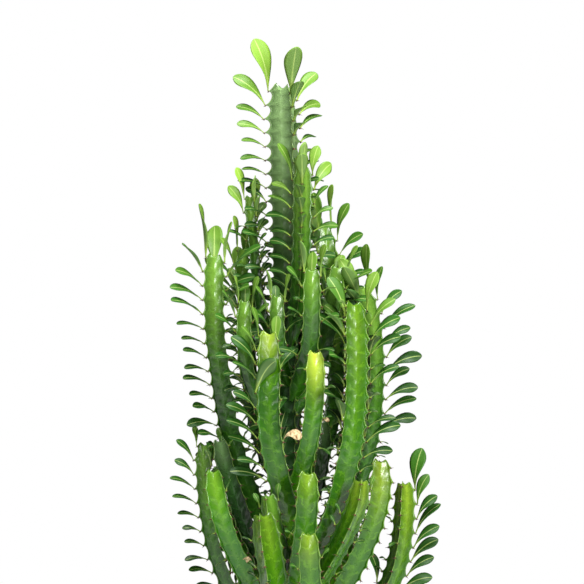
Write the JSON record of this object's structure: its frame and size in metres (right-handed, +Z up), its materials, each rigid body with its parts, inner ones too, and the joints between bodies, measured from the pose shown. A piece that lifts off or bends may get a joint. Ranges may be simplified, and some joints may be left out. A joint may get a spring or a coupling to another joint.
{
  "type": "potted euphorbia",
  "caption": "Tall candelabra euphorbia with three-ribbed stems, small fleshy leaves and short spines, in a plain round flower pot.",
  "frame": {"origin": "centre of the pot's flat underside", "axes": "+Z up along the main stem; -Y towards the side seen first in the picture; +X to the right of that view"},
  "size_m": [0.3508, 0.3347, 1.0458],
  "materials": {
    "terracotta": "matte",
    "potting_soil": "matte",
    "old_green_skin": "satin",
    "green_skin": "satin",
    "bright_green_skin": "satin",
    "young_green_skin": "satin"
  },
  "bodies": {
    "root": {"pot": "terracotta", "soil": "potting_soil", "main_stem": "old_green_skin", "upper_front_branch": "green_skin", "centre_mid_branch": "green_skin", "centre_short_branch": "green_skin", "left_front_branch": "bright_green_skin", "mid_front_branch": "bright_green_skin", "right_front_branch": "bright_green_skin", "front_short_branch": "bright_green_skin", "front_low_branch": "bright_green_skin", "front_left_low_branch": "bright_green_skin", "front_left_back_branch": "green_skin", "upper_right_back_branch": "green_skin", "right_mid_branch": "green_skin", "right_back_branch": "green_skin", "mid_right_back_branch": "old_green_skin", "right_low_inner_branch": "bright_green_skin", "right_low_branch": "bright_green_skin", "right_outer_branch": "bright_green_skin", "left_thin_branch": "green_skin", "left_inner_branch": "green_skin", "left_centre_branch": "green_skin", "left_tall_branch": "green_skin", "left_dark_branch": "old_green_skin", "left_bright_branch": "young_green_skin", "left_outer_branch": "green_skin", "back_centre_branch": "green_skin", "back_left_branch": "green_skin", "back_right_branch": "green_skin", "back_low_branch": "bright_green_skin", "back_low_left_branch": "bright_green_skin", "back_low_right_branch": "bright_green_skin"}
  },
  "joints": []
}
